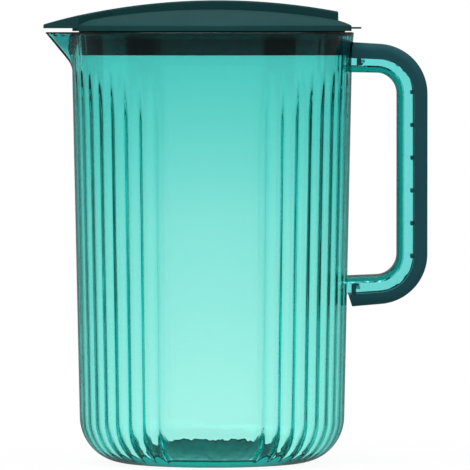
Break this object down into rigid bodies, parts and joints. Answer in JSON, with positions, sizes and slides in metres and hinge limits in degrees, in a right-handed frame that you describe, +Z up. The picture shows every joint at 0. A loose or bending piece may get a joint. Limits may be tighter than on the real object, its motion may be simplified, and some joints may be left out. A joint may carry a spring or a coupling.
{
  "type": "carafe with lid",
  "caption": "Round clear plastic jug with fluted inner wall, V spout, two-tone closed handle and a domed plug lid with a beak, a rib and a thumb tab.",
  "frame": {"origin": "where the jug's axis meets the plane the foot stands on", "axes": "+Z up along the jug's axis, +X to the handle, -X to the spout, -Y to the front"},
  "size_m": [0.1918, 0.1418, 0.2309],
  "materials": {
    "clear_plastic": "clear, tinted teal",
    "handle_plastic": "satin",
    "lid_plastic": "satin",
    "plug_plastic": "satin",
    "seal_rubber": "matte"
  },
  "bodies": {
    "jug": {"jug_body": "clear_plastic", "handle_cover": "handle_plastic"},
    "seal": {"lid_seal": "seal_rubber"},
    "lid": {"lid_shell": "lid_plastic", "lid_plug": "plug_plastic"}
  },
  "joints": [
    {"name": "lid_lift", "type": "slide", "parent": "jug", "child": "seal", "axis": [0, 0, 1], "range_m": [0, 0.06]},
    {"name": "lid_turn", "type": "hinge", "parent": "seal", "child": "lid", "pos_m": [0, 0, 0.2155], "axis": [0, 0, 1], "continuous": true}
  ]
}
